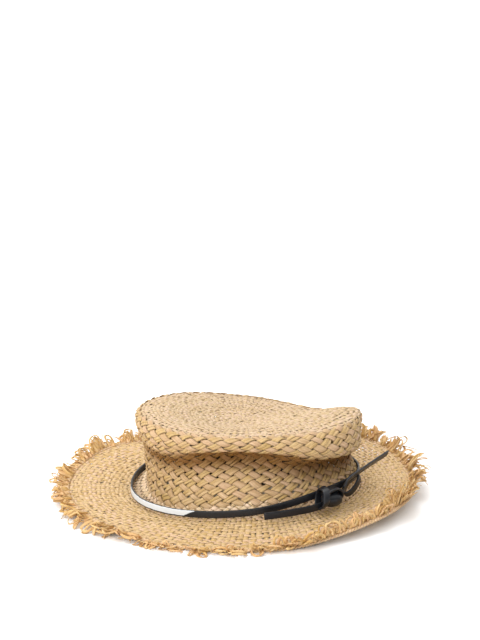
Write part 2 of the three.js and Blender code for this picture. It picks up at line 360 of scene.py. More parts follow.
def diagonal_weave(name, form, pitches, rows, family, split, fill, height, thick, material, seed, span):
    """Lays one family of a plain diagonal weave. Family 1 slopes down to the right, and -1 up to the right.
    split straws lie side by side in each band, and fill is the share of it that they cover. height is how far
    a straw goes over and under, and thick its thickness."""
    count = pitches * split
    pitch_mm = HEAD_ROUND / pitches

    def place(number, along, across, lift, rng):
        band, strand = number // split, number % split
        share = span[0] + (span[1] - span[0]) * along
        level = rows * share
        knots = int(2 * rows) + 1
        uneven = 1 + jitter(rng, count, 0.14) + loose(rng, count, along, knots, 0.2)
        width = fill / split * (STRAND_SPREAD if split > 1 else 1) * uneven
        middle = ((strand + 0.5) / split - 0.5) * fill * 1.02 + loose(rng, count, along, knots, 0.09)
        shift = (middle + across * width * 0.5) * 0.5
        turns = band - family * level + shift
        wave = family * over_under(2 * math.pi * level)
        level = level + family * shift
        angle, up = turns / pitches * 2 * math.pi, level / rows
        point, normal = form.at(angle, up)
        bump = height * (1 + loose(rng, count, along, knots, 0.3)) * wave - WEAVE / 2 + lift * thick * 0.5
        bump = bump + across * loose(rng, count, along, knots, 0.3) / split
        run = along * rows * math.hypot(pitch_mm, form.length / rows) * (span[1] - span[0])
        breadth = across * width * pitch_mm * 0.3 + number * FIBRE_STEP
        return point + normal * bump[..., None], run, breadth, form.painted_fold_shade_at(angle, up)

    crossings = 2 * rows * (span[1] - span[0])
    return lay_straws(name, count, int(crossings * STEPS_PER_CROSSING) + 2, 8, place, material, seed)


STREAK_SCALE = (45, 2600, 61)  # along a straw, across it, and from straw to straw
TONE_SCALE = (110, 190, 173)
# The brown that painted shade turns the straw to in the folds under the lip
PAINTED_FOLD_SHADE_COLOR = (0.38, 0.26, 0.11, 1)


def fibre_group():
    """The look of a split straw: long fine fibres, pale and dark stretches, painted shade along its edges
    where the gaps between straws are, and a browner, darker painted shade in a fold under the lip."""
    group = bpy.data.node_groups.new("straw_fibre", "ShaderNodeTree")
    face = group.interface
    for socket, kind, value in (
        ("Light", "NodeSocketColor", (0.8, 0.6, 0.35, 1)),
        ("Dark", "NodeSocketColor", (0.5, 0.35, 0.15, 1)),
        ("Tint", "NodeSocketColor", (0.8, 0.55, 0.4, 1)),
        ("Streaks", "NodeSocketFloat", 0.5),
        ("Edge", "NodeSocketFloat", 0.42),
    ):
        item = face.new_socket(name=socket, in_out="INPUT", socket_type=kind)
        item.default_value = value
    face.new_socket(name="Color", in_out="OUTPUT", socket_type="NodeSocketColor")
    face.new_socket(name="Height", in_out="OUTPUT", socket_type="NodeSocketFloat")
    face.new_socket(name="Roughness", in_out="OUTPUT", socket_type="NodeSocketFloat")
    nodes, links = group.nodes, group.links
    inputs = nodes.new("NodeGroupInput")
    outputs = nodes.new("NodeGroupOutput")
    fibre = read_attribute(group, "fibre")
    edge = read_attribute(group, "edge")

    def stretched_noise(scale, detail):
        stretch = nodes.new("ShaderNodeVectorMath")
        stretch.operation = "MULTIPLY"
        stretch.inputs[1].default_value = scale
        links.new(fibre.outputs["Vector"], stretch.inputs[0])
        noise = nodes.new("ShaderNodeTexNoise")
        noise.inputs["Scale"].default_value = 1
        noise.inputs["Detail"].default_value = detail
        links.new(stretch.outputs[0], noise.inputs["Vector"])
        return noise.outputs["Fac"]

    streak = stretched_noise(STREAK_SCALE, 3)
    stretch_tone = stretched_noise(TONE_SCALE, 2)
    split = nodes.new("ShaderNodeSeparateXYZ")
    links.new(fibre.outputs["Vector"], split.inputs[0])
    darkness = map_range(group, stretch_tone, 0.35, 0.7, 0, 1)
    base = mix_colors(group, "MIX", darkness, inputs.outputs["Light"], inputs.outputs["Dark"])
    tinted = map_range(group, split.outputs["Z"], 0.35, 1, 0, 0.85)
    base = mix_colors(group, "MIX", tinted, base, inputs.outputs["Tint"])
    lines = map_range(group, streak, 0.42, 0.62, 1, 0)
    line_weight = nodes.new("ShaderNodeMath")
    line_weight.operation = "MULTIPLY"
    links.new(lines, line_weight.inputs[0])
    links.new(inputs.outputs["Streaks"], line_weight.inputs[1])
    base = mix_colors(group, "MULTIPLY", line_weight.outputs[0], base, inputs.outputs["Dark"])
    # Painted shade along each straw's edges, where the gaps between straws are: from 0.6 of the half width
    # outwards the colour falls to the Edge share.
    grey = nodes.new("ShaderNodeCombineColor")
    shade = nodes.new("ShaderNodeMapRange")
    shade.inputs["From Min"].default_value = 0.6
    shade.inputs["To Min"].default_value = 1
    links.new(inputs.outputs["Edge"], shade.inputs["To Max"])
    links.new(edge.outputs["Fac"], shade.inputs["Value"])
    for socket in ("Red", "Green", "Blue"):
        links.new(shade.outputs["Result"], grey.inputs[socket])
    base = mix_colors(group, "MULTIPLY", 1.0, base, grey.outputs["Color"])
    # Painted shade: the straw turns browner and darker where it lies under an overhanging lip
    painted_fold_shade = read_attribute(group, "painted_fold_shade")
    base = mix_colors(group, "MULTIPLY", painted_fold_shade.outputs["Fac"], base, PAINTED_FOLD_SHADE_COLOR)
    links.new(base, outputs.inputs["Color"])
    links.new(streak, outputs.inputs["Height"])
    links.new(map_range(group, streak, 0.3, 0.7, 0.72, 0.5), outputs.inputs["Roughness"])
    return group


FIBRE = fibre_group()
STRAW_RELIEF = 0.4
FIBRE_DEPTH = 0.0003  # metres, as a material's distances are


def straw_material(name, light, dark, tint, streaks, edge):
    material, tree, shader = new_material(name, 0.6)
    group = tree.nodes.new("ShaderNodeGroup")
    group.node_tree = FIBRE
    for socket, color in (("Light", light), ("Dark", dark), ("Tint", tint)):
        group.inputs[socket].default_value = (*color, 1)
    group.inputs["Streaks"].default_value = streaks
    group.inputs["Edge"].default_value = edge
    tree.links.new(group.outputs["Color"], shader.inputs["Base Color"])
    tree.links.new(group.outputs["Roughness"], shader.inputs["Roughness"])
    add_relief(tree, shader, group.outputs["Height"], STRAW_RELIEF, FIBRE_DEPTH)
    shader.inputs["Specular IOR Level"].default_value = 0.35
    return material


def on_hat(piece, slot, *nodes):
    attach(piece, "hat")
    if nodes:
        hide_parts(*nodes)
    return piece


head_form = Form(crown_lines(np.linspace(0, HEAD_ROW_TOP, 30)), upward=False)
PALE_FINE = straw_material(
    "fine_diagonal_straw", (0.84, 0.67, 0.46), (0.68, 0.50, 0.28), (0.82, 0.62, 0.46), streaks=0.4, edge=0.6
)
for family, label in ((1, "falling"), (-1, "rising")):
    fine_rows = diagonal_weave(
        "head_row_" + label, head_form, pitches=84, rows=2.5, family=family, split=1, fill=0.9, height=0.5,
        thick=0.5, material=PALE_FINE, seed=10 + family, span=(-0.08, 1.04)
    )
    on_hat(fine_rows, "fine_straw", "head_row")

# Crown wall: a coarse plain weave on the diagonal. Wide flat straws fall to the right, pale and pinkish
# with fine lengthwise lines. Bands of two narrow round straws rise to the right, yellower and a little
# green.

# The share of each rib where the fine tip takes over
TIP_REACH = np.array([0.80, 0.86, 0.86, 0.86, 0.85, 0.88, 0.91, 0.87])
WALL_PITCHES = 42
WALL_ROWS = 8.8
WALL_WAVE = 0.78  # how far its straws go over and under
WALL_SPAN = (-0.03, 1.03)

tip_reach = curve_through(TIP_REACH, ANGLES / (2 * math.pi), True)


def crown_between(start, end, samples):
    """The crown's outside from start to end, each a share of the rib at every angle."""
    fine = np.linspace(0, 1, 281)
    lines = crown_lines(fine)
    steps = np.linspace(0, 1, samples)
    cut = []
    for line, a, b in zip(lines, start, end):
        at = a + (b - a) * steps
        cut.append(np.stack([np.interp(at, fine, line[:, k]) for k in range(3)], -1))
    return np.array(cut)


wall_start = np.full_like(ANGLES, HEAD_ROW_TOP)
wall_form = Form(crown_between(wall_start, tip_reach, 160), upward=False, folded=True)
WIDE_STRAW = straw_material(
    "wide_pink_straw", (0.61, 0.43, 0.25), (0.49, 0.325, 0.15), (0.62, 0.425, 0.275), streaks=0.45, edge=0.58
)
NARROW_STRAW = straw_material(
    "narrow_green_straw", (0.62, 0.44, 0.21), (0.48, 0.32, 0.115), (0.60, 0.42, 0.225), streaks=0.4, edge=0.58
)
wide = diagonal_weave(
    "crown_wall_wide", wall_form, WALL_PITCHES, WALL_ROWS, family=1, split=1, fill=0.83, height=WALL_WAVE,
    thick=1.0, material=WIDE_STRAW, seed=21, span=WALL_SPAN
)
on_hat(wide, "straw", "crown_wall")
narrow = diagonal_weave(
    "crown_wall_narrow", wall_form, WALL_PITCHES, WALL_ROWS, family=-1, split=2, fill=0.75, height=WALL_WAVE,
    thick=1.4, material=NARROW_STRAW, seed=22, span=WALL_SPAN
)
on_hat(narrow, "straw", "crown_wall")

# Crown tip: the fine top, woven from radial straws that double in number as it widens, and rounds of weft.
# It dips from the lip to its centre, and goes down over the lip to where the coarse wall starts.
TIP_CENTRE = np.array([2.0, 2.0, 67.0])
TIP_END = 0.012  # it stops this much of a rib short of the wall
# Each zone from the centre out: its stakes, its rounds of weft, and the shares of the form that it lies
# between
TIP_ZONES = (
    (24, 5, (0.02, 0.22)),
    (48, 6, (0.215, 0.46)),
    (96, 15, (0.455, 1.0)),
)
rim = crown_lines(np.array([1.0]))[:, 0]
ease = np.linspace(0, 1, 80)
tip_lines = TIP_CENTRE + (rim[:, None] - TIP_CENTRE) * ease[:, None]
tip_lines[..., 2] = TIP_CENTRE[2] + (rim[:, 2, None] - TIP_CENTRE[2]) * (ease**2 * (3 - 2 * ease))
over_lip = crown_between(np.ones_like(ANGLES), tip_reach - TIP_END, 40)
tip_form = Form(np.concatenate([tip_lines, over_lip[:, 1:]], 1), upward=True, samples=260)


def round_weave(name, form, stakes, rounds, materials, seed, span, stake_width, height, fill):
    """Lays radial stakes and the rounds of weft through them, as two pieces. height is how far a straw goes
    over and under, and fill is the share of its room that it covers."""
    first, last = span
    thick = 0.55
    weft_pitch = form.length * (last - first) / rounds

    def place_stake(number, along, across, lift, rng):
        share = first + (last - first) * along
        point, normal = form.at(number / stakes * 2 * math.pi, share)
        beside, _ = form.at((number + 1) / stakes * 2 * math.pi, share)
        pitch = np.linalg.norm(beside - point, axis=-1)
        uneven = 1 + jitter(rng, stakes, 0.2) + loose(rng, stakes, along, rounds, 0.25)
        width = np.minimum(pitch * fill, stake_width) * uneven
        drift = loose(rng, stakes, along, rounds // 2 + 1, 0.16) * pitch
        shift = (across * width * 0.5 + drift) / np.maximum(pitch, 0.3)
        point, normal = form.at((number + shift) / stakes * 2 * math.pi, share)
        wave = over_under(math.pi * (number + along * rounds - 0.5))
        wave = wave * (1 + loose(rng, stakes, along, rounds, 0.5))
        tilt = across * loose(rng, stakes, along, rounds, 0.28)
        bump = wave * height - WEAVE / 2 + lift * thick * 0.5 + tilt
        run = along * form.length * (last - first)
        return point + normal * bump[..., None], run, across * width * 0.5 + number * FIBRE_STEP

    def place_weft(number, along, across, lift, rng):
        angle = 2 * math.pi * along * (1 + 1e-4)
        width = fill * (1 + jitter(rng, rounds, 0.12) + loose(rng, rounds, along, stakes, 0.28)) / rounds
        drift = sum(
            np.sin(k * angle + 2 * math.pi * rng.random((rounds, 1))) * (rng.random((rounds, 1)) - 0.5)
            for k in (7, 13, 23)
        )
        drift = drift + loose(rng, rounds, along, stakes // 2, 1.6)
        middle = (number + 0.5 + 0.17 * drift) / rounds
        share = first + (last - first) * (middle + across * width * 0.5)
        point, normal = form.at(angle, share)
        wave = -over_under(along * stakes * math.pi + number * math.pi)
        wave = wave * (1 + loose(rng, rounds, along, stakes, 0.5))
        tilt = across * loose(rng, rounds, along, stakes, 0.28)
        bump = wave * height - WEAVE / 2 + lift * thick * 0.5 + tilt
        centre, _ = form.at(angle, share * 0 + first + (last - first) * middle)
        radius = np.linalg.norm(centre[..., :2], axis=-1).mean(axis=1, keepdims=True)
        breadth = across * width * weft_pitch * rounds * 0.5 + number * FIBRE_STEP
        return point + normal * bump[..., None], angle * radius, breadth

    return [
        lay_straws(name + "_stakes", stakes, rounds * 4 + 2, 6, place_stake, materials[0], seed),
        lay_straws(name + "_wefts", rounds, stakes * 4 + 1, 6, place_weft, materials[1], seed + 1),
    ]


TIP_STRAWS = (
    straw_material(
        "tip_stake_straw", (0.60, 0.455, 0.265), (0.515, 0.36, 0.175), (0.61, 0.47, 0.30), 0.25, 0.74
    ),
    straw_material(
        "tip_weft_straw", (0.625, 0.47, 0.31), (0.535, 0.37, 0.20), (0.645, 0.47, 0.35), 0.25, 0.74
    ),
)
for zone, (stakes, rounds, span) in enumerate(TIP_ZONES):
    woven_zone = round_weave(
        f"crown_tip_{zone + 1}", tip_form, stakes, rounds, TIP_STRAWS, seed=30 + 2 * zone, span=span,
        stake_width=3.6, height=0.23, fill=1.0
    )
    for piece in woven_zone:
        on_hat(piece, "fine_straw", "crown_tip")

# Brim: a fine plain weave of radial stakes and rounds of weft, from the head line to the edge. The hat
# rests on it.
EDGE = (150.0, 126.0)  # half lengths of its woven edge
EDGE_HEIGHTS = np.array([13, 20, -2, 13, 8, 5, -2, 10.0])  # at the eight angles; the floor holds it up
STAKES = 150
BRIM_ROUNDS = 14
HEAD_LINE_DROP = 0.8  # from the head line down to the brim's start
edge_height = curve_through(EDGE_HEIGHTS, ANGLES / (2 * math.pi), True)
head_line = crown_lines(np.array([0.0]))[:, 0]
woven_edge = np.stack([EDGE[0] * np.cos(ANGLES), EDGE[1] * np.sin(ANGLES), edge_height], -1)
out = np.linspace(0, 1, 60)
brim_lines = head_line[:, None] + (woven_edge - head_line)[:, None] * out[:, None]
fall = 1 - (1 - out) ** 1.5
brim_fall = edge_height - head_line[:, 2] + HEAD_LINE_DROP
brim_lines[..., 2] = head_line[:, 2, None] - HEAD_LINE_DROP + brim_fall[:, None] * fall
brim_lines[..., 2] = np.maximum(WEAVE / 2, brim_lines[..., 2]) + WEAVE / 2
brim_form = Form(brim_lines, upward=True)
BRIM_STRAWS = (
    straw_material(
        "brim_stake_straw", (0.645, 0.46, 0.225), (0.54, 0.36, 0.135), (0.63, 0.46, 0.245), 0.3, 0.72
    ),
    straw_material(
        "brim_weft_straw", (0.665, 0.48, 0.29), (0.56, 0.38, 0.17), (0.675, 0.47, 0.335), 0.3, 0.72
    ),
)
woven_brim = round_weave(
    "brim", brim_form, STAKES, BRIM_ROUNDS, BRIM_STRAWS, seed=40, span=(0.0, 1.0), stake_width=6.0,
    height=0.3, fill=0.97
)
for piece in woven_brim:
    on_hat(piece, "fine_straw", "brim")

# Edge braid: three plaited strands of straw, sewn round the brim's woven edge.
BRAID_OUT = 2.3  # from the woven edge to the middle of the braid
BRAID_DROP = 1.0
BRAID_PLAITS = 96
BRAID_WAVE = 1.4  # how far its strands go in and out
EDGE_MEAN_RADIUS = 138


def edge_frame(angle):
    """The middle of the edge braid, and the directions out from the brim and along its edge."""
    point, _ = brim_form.at(angle, angle * 0 + 1)
    out = np.stack([np.cos(angle) / EDGE[0], np.sin(angle) / EDGE[1], angle * 0], -1)
    out /= np.linalg.norm(out, axis=-1, keepdims=True)
    beside = np.stack([-out[..., 1], out[..., 0], out[..., 2]], -1)
    return point + out * BRAID_OUT - np.array([0, 0, BRAID_DROP]), out, beside


def place_braid(number, along, across, lift, rng):
    angle = 2 * math.pi * along
    middle, out, _ = edge_frame(angle)
    phase = BRAID_PLAITS * angle + number * 2 * math.pi / 3
    reach = BRAID_WAVE * np.cos(phase) + across * 1.4 - 0.9
    rise = 0.55 * np.sin(2 * phase) + lift * 0.8
    point = middle + out * reach[..., None]
    point[..., 2] += rise
    return point, angle * EDGE_MEAN_RADIUS, across * 0.95 + number * 4.0


BRAID_STRAW = straw_material(
    "braid_straw", (0.68, 0.49, 0.27), (0.58, 0.40, 0.17), (0.68, 0.48, 0.32), 0.3, 0.8
)
on_hat(lay_straws("edge_braid", 3, BRAID_PLAITS * 10, 8, place_braid, BRAID_STRAW, 50), "straw", "edge_braid")

# Fringe: the ends of the brim's straws, left long past the braid, frayed and folded back into loops. They
# are in eight lengths round the edge. They stand up at the right and the back, curl inwards over the braid
# at the front right, and lie flatter at the front and the left.
FRINGE_NAMES = ("right", "back_right", "back", "back_left", "left", "front_left", "front", "front_right")
# At every 45 degrees from +X: how steeply the straws rise, how much they bend on the way, both in degrees,
# and how long they are
FRINGE_RISE = np.array([58, 52, 32, 30, 18, 6, 10, 88.0])
FRINGE_BEND = np.array([-50, -40, -30, -30, -30, -12, 12, 60.0])
FRINGE_LENGTH = np.array([18, 17, 15, 15, 18, 16, 14, 14.0])
TUFTS = 16  # in each length
LOWEST = 0.5  # the straws' ends stay this far above the floor
STRAWS_PER_TUFT = {"loop": 3, "frond": 3, "hair": 1}
FRAYED_THICKNESS = 0.22  # half of it


def fringe_place(part, kind):
    """kind is "loop" for straws folded back, "frond" for split flat ends, and "hair" for fine fibres."""
    each = STRAWS_PER_TUFT[kind]
    count = TUFTS * each
    # what a tuft's straws have in common
    clump = np.random.default_rng(900 + part).random((TUFTS, 4)) * 2 - 1

    def place(number, along, across, lift, rng):
        one = lambda size: jitter(rng, count, size)  # a value for each straw, up to size either way
        tuft = number // each
        middle = (tuft + 0.5) / TUFTS - 0.5
        angle = (part + middle) * math.pi / 4 + 0.026 * clump[tuft, 0] + one(0.02) + 0 * along
        turn = (angle / (2 * math.pi)) % 1
        base, out, beside = edge_frame(angle)
        base = base + out * (one(1.6) - 2.4)[..., None] + np.array([0, 0, 1.0]) * one(0.6)[..., None]
        rise = np.radians(curve_through(FRINGE_RISE, turn, True) + 16 * clump[tuft, 1] + one(18))
        bend = np.radians(curve_through(FRINGE_BEND, turn, True) + one(55)) + 1e-3
        length = curve_through(FRINGE_LENGTH, turn, True) * (0.88 + 0.34 * clump[tuft, 2] + one(0.26))
        lean = 0.35 * clump[tuft, 3] + one(0.4)
        opening, sway, roll, broad = 2.2 + one(2.0), one(0.6), one(0.9), one(1.0)

        def path(t):
            if kind == "loop":
                reach = length * 0.85 * np.sin(math.pi * t) ** 0.8
                side = opening * 1.1 * (2 * t - 1) - opening * 0.9 * np.sin(2 * math.pi * t)
                share = np.sin(math.pi * t)
            else:
                reach = length * 0.8 * t
                side = sway * length * t * t
                share = t
            steep = rise + bend * share * 0.5
            forward, upward = reach * np.cos(steep), reach * np.sin(steep)
            point = base + out * forward[..., None] + beside * (side + lean * reach)[..., None]
            crinkle = 0.8 * np.sin(9 * t + 9 * roll) * t
            return point + np.array([0, 0, 1.0]) * (upward + crinkle)[..., None] + beside * crinkle[..., None]

        t = 0.02 + 0.96 * along
        point = path(t)
        tangent = path(t + 0.01) - path(t - 0.01)
        tangent /= np.linalg.norm(tangent, axis=-1, keepdims=True)
        flat = beside * np.cos(roll)[..., None] + np.array([0, 0, 1.0]) * np.sin(roll)[..., None]
        width_way = flat - tangent * np.sum(flat * tangent, -1, keepdims=True)
        width_way /= np.maximum(np.linalg.norm(width_way, axis=-1, keepdims=True), 1e-6)
        face = np.cross(tangent, width_way)
        if kind == "loop":
            width = (3.1 + 1.0 * broad) * (1 - 0.3 * np.sin(math.pi * t))
        elif kind == "frond":
            width = (3.3 + 1.2 * broad) * (1 - t**3) * (0.7 + 0.3 * np.sin(9 * t + 3 * roll)) + 0.2
        else:
            width = 0.6 * (1 - 0.6 * t)
        point = point + width_way * (across * width * 0.5)[..., None]
        cupped = 0.22 * across**2 * width
        point = point + face * (lift * FRAYED_THICKNESS + cupped)[..., None]
        point[..., 2] = np.maximum(point[..., 2], LOWEST + 0.2 * lift)
        return point, length * along, across * width * 0.5 + number * 3.7

    return count, place


FRINGE_STRAW = straw_material(
    "frayed_straw", (0.76, 0.55, 0.27), (0.58, 0.34, 0.09), (0.74, 0.46, 0.24), 0.3, 0.85
)
for part, where in enumerate(FRINGE_NAMES):
    for kind, rings in (("loop", 16), ("frond", 9), ("hair", 7)):
        count, place = fringe_place(part, kind)
        seed = 60 + 10 * part + rings
        frayed = lay_straws(f"fringe_{where}_{kind}s", count, rings, 6, place, FRINGE_STRAW, seed)
        on_hat(frayed, "frayed_straw", "fringe_" + where)

# Sweatband: a grosgrain ribbon inside the head line, held by a row of running stitches along each edge.
SWEATBAND = (0.02, 0.3)  # the shares of a rib between which it lies
SWEATBAND_DEPTH = WEAVE + 2.0  # from the crown's outside to the middle of the ribbon
RIBBON_HALF_THICKNESS = 0.38
RIBBON_MEAN_RADIUS = 88
RIBBON_STITCHES = 170
STITCH_FILL = 0.62  # the share of each step round the ribbon that a stitch covers
STITCH_ROWS = (("lower", 0.07), ("upper", 0.93))  # the shares of the ribbon's height where they run
RIB_PITCH = 0.0011  # in metres, as the fibre attribute is
sweatband_form = Form(crown_lines(np.linspace(*SWEATBAND, 40)), upward=False, samples=60)


def place_ribbon(number, along, across, lift, rng):
    angle = 2 * math.pi * along
    share = 0.5 + across * 0.5
    point, normal = sweatband_form.at(angle, share)
    thickness = RIBBON_HALF_THICKNESS * np.sign(lift) * np.abs(lift) ** 0.3
    point = point + normal * (thickness - SWEATBAND_DEPTH)[..., None]
    return point, angle * RIBBON_MEAN_RADIUS, share * sweatband_form.length


WAVE_LENGTH = 0.3142  # of the wave texture at scale 1


def ribbed(tree, shader, pitch, color, shade):
    """Fine ribs across a ribbon, as bump and as painted shade in the hollows between them."""
    nodes, links = tree.nodes, tree.links
    fibre = read_attribute(tree, "fibre")
    wave = nodes.new("ShaderNodeTexWave")
    wave.bands_direction = "X"
    wave.inputs["Scale"].default_value = WAVE_LENGTH / pitch
    wave.inputs["Distortion"].default_value = 0.4
    links.new(fibre.outputs["Vector"], wave.inputs["Vector"])
    # Painted shade: the colour falls to shade in the hollows between the ribs
    ribs = mix_colors(tree, "MIX", wave.outputs["Fac"], (*shade, 1), (*color, 1))
    links.new(ribs, shader.inputs["Base Color"])
    add_relief(tree, shader, wave.outputs["Fac"], 0.8, FIBRE_DEPTH)


grosgrain, grosgrain_tree, grosgrain_shader = new_material("cream_grosgrain", 0.75)
ribbed(grosgrain_tree, grosgrain_shader, RIB_PITCH, (0.74, 0.66, 0.52), (0.52, 0.44, 0.32))
ribbon = lay_straws("sweatband", 1, 362, 32, place_ribbon, grosgrain, 200)
on_hat(ribbon, "sweatband_ribbon", "sweatband")

THREAD = 0.22  # half its thickness
thread, _, _ = new_material("cream_thread", 0.6, (0.80, 0.74, 0.62))


def stitches(name, count, place_middle, length, slot):
    """Short raised threads; place_middle(number, along) gives a point and the direction off the cloth."""

    def place(number, along, across, lift, rng):
        point, off, sideways = place_middle(number, along)
        arch = np.sin(math.pi * along) * 0.35 + lift * THREAD
        point = point + off * arch[..., None] + sideways * (across * THREAD)[..., None]
        return point, along * length, across * THREAD

    on_hat(lay_straws(name, count, 7, 6, place, thread, 210), slot)


def ribbon_stitch(share):
    def middle(number, along):
        angle = (number + STITCH_FILL * along) / RIBBON_STITCHES * 2 * math.pi
        point, normal = sweatband_form.at(angle, angle * 0 + share)
        above, _ = sweatband_form.at(angle, angle * 0 + share + 0.02)
        upward = (above - point) / np.linalg.norm(above - point, axis=-1, keepdims=True)
        return point - normal * (SWEATBAND_DEPTH + 0.3), -normal, upward

    return middle


for side, share in STITCH_ROWS:
    stitches(f"sweatband_{side}_stitches", RIBBON_STITCHES, ribbon_stitch(share), 2.1, "sweatband_ribbon")

# Size label: a blank woven tab at the back of the sweatband, sewn down all round.
LABEL_HALF_ANGLE = 0.16
LABEL_SHARES = (0.06, 0.24)
LABEL_DEPTH = SWEATBAND_DEPTH + 0.4 + 0.4 + 0.3  # half the ribbon, a gap, and half the label
LABEL_HALF_THICKNESS = 0.28
LONG_SIDE = 9  # stitches along each long side of the label
SHORT_SIDE = 4
LABEL_INSET = 0.93  # the share of the label's half width where its stitches run
label_form = Form(crown_lines(np.linspace(*LABEL_SHARES, 30)), upward=False, samples=40)


def place_label(number, along, across, lift, rng):
    angle = (2 * along - 1) * LABEL_HALF_ANGLE
    point, normal = label_form.at(angle, 0.5 + across * 0.5)
    thickness = LABEL_HALF_THICKNESS * np.sign(lift) * np.abs(lift) ** 0.3
    point = point + normal * (thickness - LABEL_DEPTH)[..., None]
    return point, angle * HEAD[1], across * label_form.length / 2


label_cloth, label_tree, label_shader = new_material("white_label_cloth", 0.8)
ribbed(label_tree, label_shader, 0.0007, (0.86, 0.83, 0.76), (0.72, 0.69, 0.62))
on_hat(lay_straws("size_label", 1, 26, 24, place_label, label_cloth, 220), "label_cloth", "size_label")


def label_stitch(number, along):
    """Stitches numbered round the label: along the two long sides, and then up the two short ones."""
    corner = 2 * LONG_SIDE
    side = np.digitize(number, (LONG_SIDE, corner, corner + SHORT_SIDE))
    within = 0.2 + 0.6 * along
    long_step = (number % LONG_SIDE + within) / LONG_SIDE
    step = np.where(number < corner, long_step, ((number - corner) % SHORT_SIDE + within) / SHORT_SIDE)
    x = np.where(side == 0, 2 * step - 1, np.where(side == 1, 1 - 2 * step, np.where(side == 2, 0.9, -0.9)))
    y = np.where(side == 0, 0.1, np.where(side == 1, 0.9, step))
    point, normal = label_form.at(x * LABEL_INSET * LABEL_HALF_ANGLE, y)
    above, _ = label_form.at(x * LABEL_INSET * LABEL_HALF_ANGLE, y + 0.02)
    upward = (above - point) / np.linalg.norm(above - point, axis=-1, keepdims=True)
    sideways = np.where((side < 2)[..., None], upward, np.cross(upward, normal))
    return point - normal * (LABEL_DEPTH + 0.2), -normal, sideways


stitches("label_stitches", 2 * (LONG_SIDE + SHORT_SIDE), label_stitch, 3.0, "label_cloth")

# Lace: one flat black leather lace, with soft edges and a satin finish, goes round the crown and is tied at
# the front right in a half bow. A length of its outer face at the left is a pale bluish white, with a ragged,
# slanted right end.
LACE_WIDTH = 6.2
LACE_THICKNESS = 1.8
BAND_HEIGHTS = np.array([20.5, 16, 14, 9.5, 6, 8.5, 14, 24.5])  # of its lower edge, at the eight angles
BAND_SLACK = np.array([-3.7, -2.9, -0.8, 0.3, -0.6, 4, 0.5, -2])  # how far it stands off the head line there
BAND_GAP = 0.4  # between the crown and the lace
KNOT_ANGLE = -0.87  # where the knot sits, round from +X
KNOT_HALF_ANGLE = 0.03  # the band's ends go into the knot this far each side of its middle
LACE_SQUARENESS = 0.4  # the power that rounds its edges: 1 would make it an oval
LACE_BLACK = (0.008, 0.009, 0.012)
# The pale bluish white of a stretch of the lace's outer face at the left
STRETCH_WHITE = (0.66, 0.70, 0.73)


def lace(name, points, width_ways, steps, material, closed=False, width=LACE_WIDTH):
    """A length of lace through points, with its width turned through width_ways on the way."""
    points, width_ways = np.array(points, float), np.array(width_ways, float)
    fine = np.linspace(0, 1, 400)
    line = curve_through(points, fine * (1 - 1e-9), closed)
    run = np.concatenate([[0], np.cumsum(np.linalg.norm(np.diff(line, axis=0), axis=1))])

    def place(number, along, across, lift, rng):
        t = np.interp(along * run[-1], run, fine) * (1 - 1e-9)
        here = curve_through(points, t, closed)
        ahead = curve_through(points, np.minimum(t + 0.004, 1 - 1e-9), closed)
        behind = curve_through(points, np.maximum(t - 0.004, 0), closed)
        tangent = ahead - behind
        tangent /= np.linalg.norm(tangent, axis=-1, keepdims=True)
        wide = curve_through(width_ways, t, closed)
        wide = wide - tangent * np.sum(wide * tangent, -1, keepdims=True)
        wide /= np.linalg.norm(wide, axis=-1, keepdims=True)
        face = np.cross(tangent, wide)
        a = np.sign(across) * np.abs(across) ** LACE_SQUARENESS * width / 2
        b = np.sign(lift) * np.abs(lift) ** LACE_SQUARENESS * LACE_THICKNESS / 2
        return here + wide * a[..., None] + face * b[..., None], along * run[-1], a

    return lay_straws(name, 1, steps, 24, place, material, 300)


def leather_material(name, with_white_stretch):
    """Black leather with a fine grain, and with the pale bluish-white stretch where it is asked for."""
    material, tree, shader = new_material(name, 0.38, LACE_BLACK)
    shader.inputs["Specular IOR Level"].default_value = 0.42
    nodes, links = tree.nodes, tree.links
    fibre = read_attribute(tree, "fibre")
    grain = nodes.new("ShaderNodeTexVoronoi")
    grain.inputs["Scale"].default_value = 1900
    links.new(fibre.outputs["Vector"], grain.inputs["Vector"])
    cloud = nodes.new("ShaderNodeTexNoise")
    cloud.inputs["Scale"].default_value = 260
    cloud.inputs["Detail"].default_value = 4
    links.new(fibre.outputs["Vector"], cloud.inputs["Vector"])
    add_relief(tree, shader, grain.outputs["Distance"], 0.35, 0.00012)
    links.new(map_range(tree, cloud.outputs["Fac"], 0.3, 0.7, 0.3, 0.48), shader.inputs["Roughness"])
    if with_white_stretch:
        place = read_attribute(tree, "white_stretch")
        rag = nodes.new("ShaderNodeMath")
        rag.operation = "MULTIPLY_ADD"
        rag.inputs[1].default_value = 6
        links.new(cloud.outputs["Fac"], rag.inputs[0])
        links.new(place.outputs["Fac"], rag.inputs[2])
        mask = map_range(tree, rag.outputs[0], 2.6, 3.6, 0, 1)
        mixed_color = mix_colors(tree, "MIX", mask, (*LACE_BLACK, 1), (*STRETCH_WHITE, 1))
        links.new(mixed_color, shader.inputs["Base Color"])
    return material


LEATHER = leather_material("black_lace_leather", False)
WHITE_STRETCH_LEATHER = leather_material("white_stretch_lace_leather", True)


def band_point(angle):
    """The middle of the band at an angle, and its outward direction there."""
    turn = (angle / (2 * math.pi)) % 1
    out = np.stack([np.cos(angle) / HEAD[1], np.sin(angle) / HEAD[2], angle * 0], -1)
    out /= np.linalg.norm(out, axis=-1, keepdims=True)
    off = BAND_GAP + curve_through(BAND_SLACK, turn, True) + LACE_THICKNESS / 2
    point = np.stack([HEAD[0] + HEAD[1] * np.cos(angle), HEAD[2] * np.sin(angle), angle * 0], -1)
    point = point + out * off[..., None]
    point[..., 2] = curve_through(BAND_HEIGHTS, turn, True) + LACE_WIDTH / 2
    return point, out


